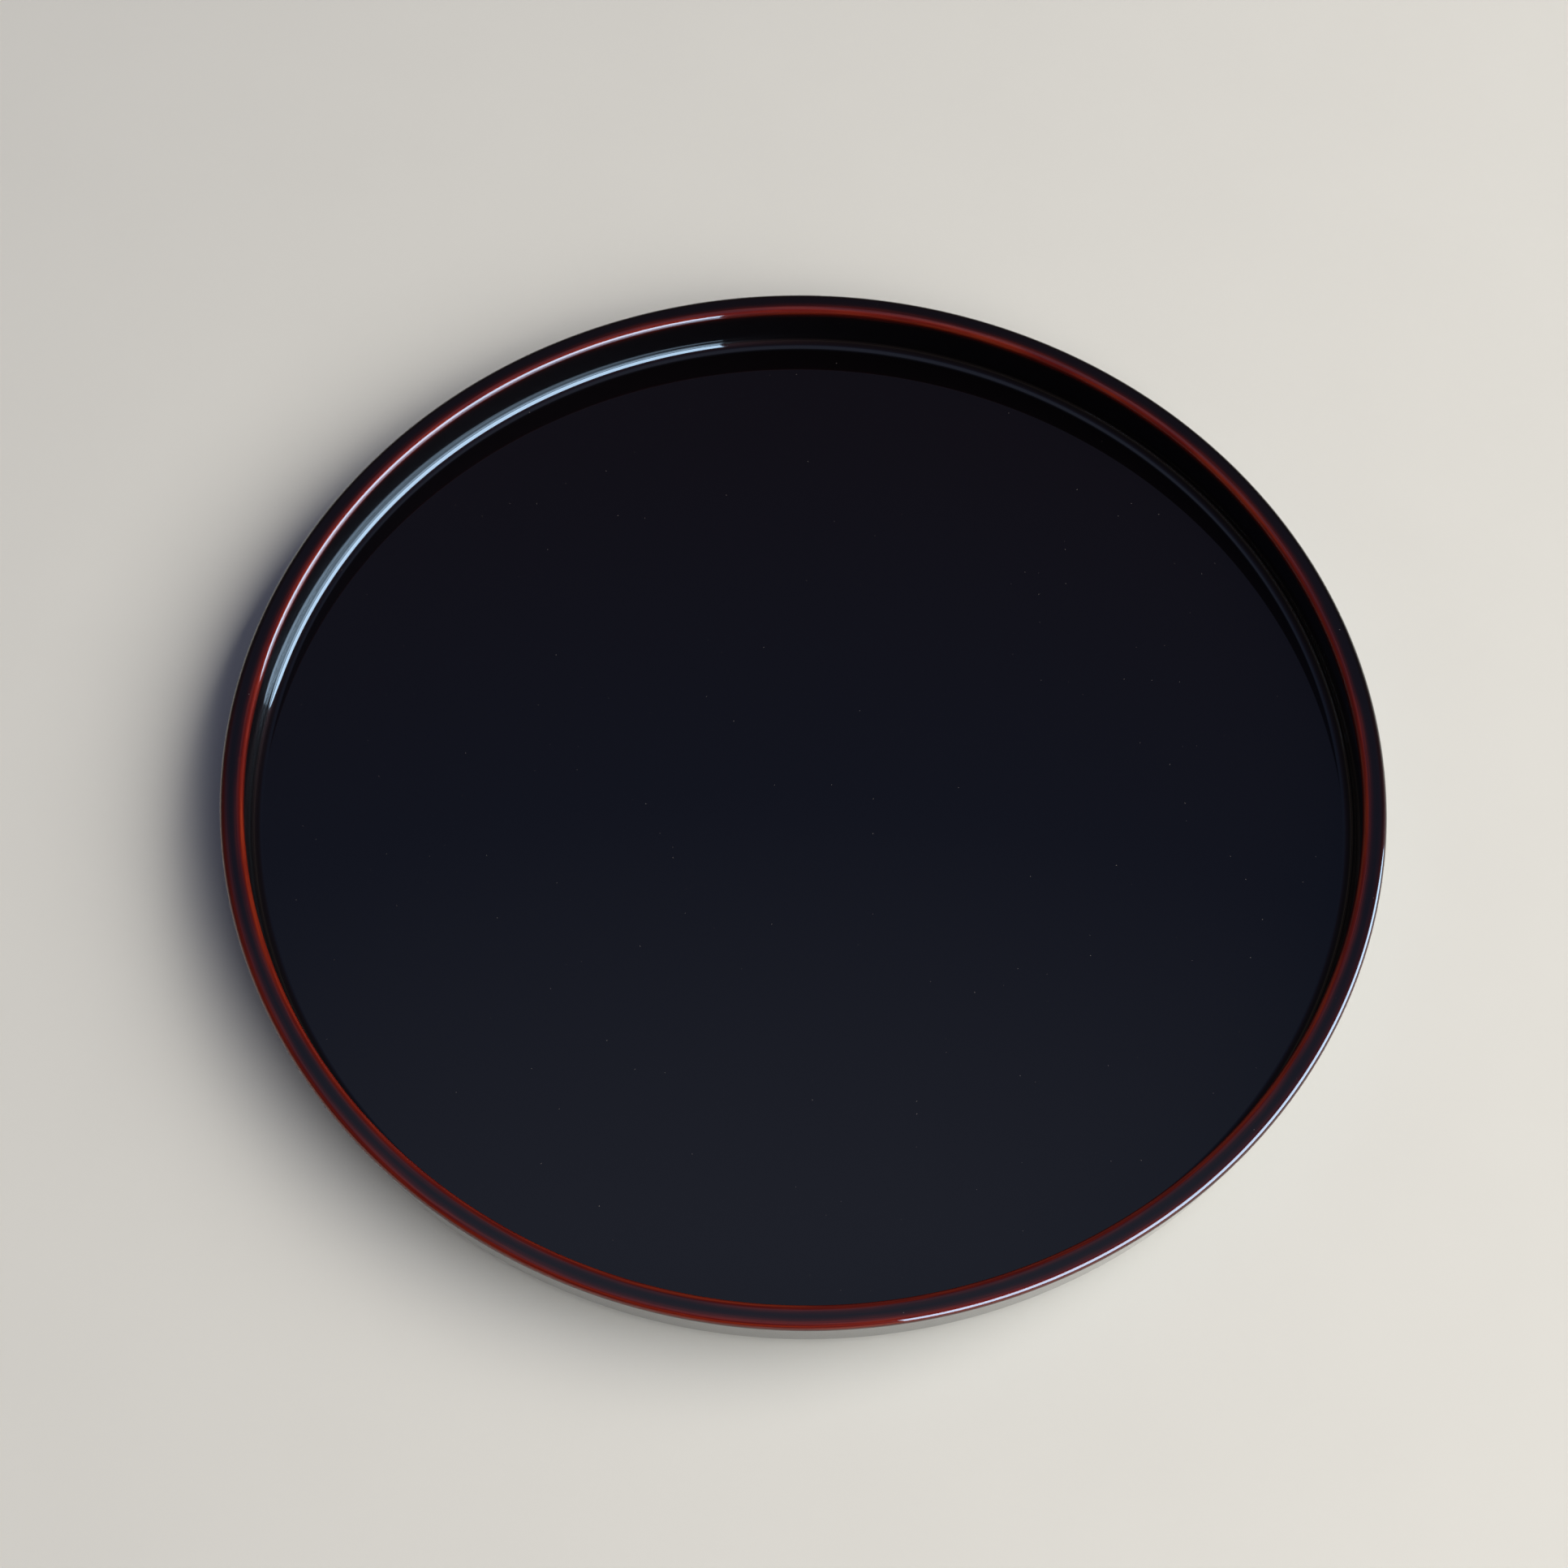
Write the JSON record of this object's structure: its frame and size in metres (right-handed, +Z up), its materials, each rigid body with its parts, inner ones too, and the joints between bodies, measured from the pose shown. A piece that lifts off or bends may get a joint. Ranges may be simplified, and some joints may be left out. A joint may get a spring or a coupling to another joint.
{
  "type": "serving tray",
  "caption": "Round shallow serving tray with a flat level rim, a coved well and a rounded heel, lacquered translucent brown over red on a built-up wooden core.",
  "frame": {"origin": "centre of the circle that the tray stands on, at the level of the table", "axes": "+Z up along the tray's axis of turning; the planks of the floor run along Y"},
  "size_m": [0.27, 0.27, 0.0195],
  "materials": {
    "core_wood": "planed, unfinished",
    "tongue_wood": "planed, unfinished",
    "ring_wood": "turned, unfinished",
    "hemp_cloth": "coarse plain weave, matte",
    "ground_coat": "ground flat, matte",
    "red_lacquer": "satin lacquer",
    "brown_lacquer": "mirror gloss lacquer, red where thin on the rim's edges"
  },
  "bodies": {
    "root": {"floor_plank_1": "core_wood", "floor_plank_2": "core_wood", "floor_plank_3": "core_wood", "floor_plank_4": "core_wood", "floor_tongue_1": "tongue_wood", "floor_tongue_2": "tongue_wood", "floor_tongue_3": "tongue_wood", "base_block_1": "ring_wood", "base_block_2": "ring_wood", "base_block_3": "ring_wood", "base_block_4": "ring_wood", "base_block_5": "ring_wood", "base_block_6": "ring_wood", "base_block_7": "ring_wood", "base_block_8": "ring_wood", "wall_block_1": "ring_wood", "wall_block_2": "ring_wood", "wall_block_3": "ring_wood", "wall_block_4": "ring_wood", "wall_block_5": "ring_wood", "wall_block_6": "ring_wood", "wall_block_7": "ring_wood", "wall_block_8": "ring_wood", "well_cloth_1": "hemp_cloth", "well_cloth_2": "hemp_cloth", "well_cloth_3": "hemp_cloth", "well_cloth_4": "hemp_cloth", "heel_cloth_1": "hemp_cloth", "heel_cloth_2": "hemp_cloth", "heel_cloth_3": "hemp_cloth", "heel_cloth_4": "hemp_cloth", "rim_cloth_1": "hemp_cloth", "rim_cloth_2": "hemp_cloth", "rim_cloth_3": "hemp_cloth", "rim_cloth_4": "hemp_cloth", "ground_inside": "ground_coat", "ground_outside": "ground_coat", "ground_underside": "ground_coat", "red_inside": "red_lacquer", "red_outside": "red_lacquer", "red_underside": "red_lacquer", "lacquer_inside": "brown_lacquer", "lacquer_outside": "brown_lacquer", "lacquer_underside": "brown_lacquer"}
  },
  "joints": []
}
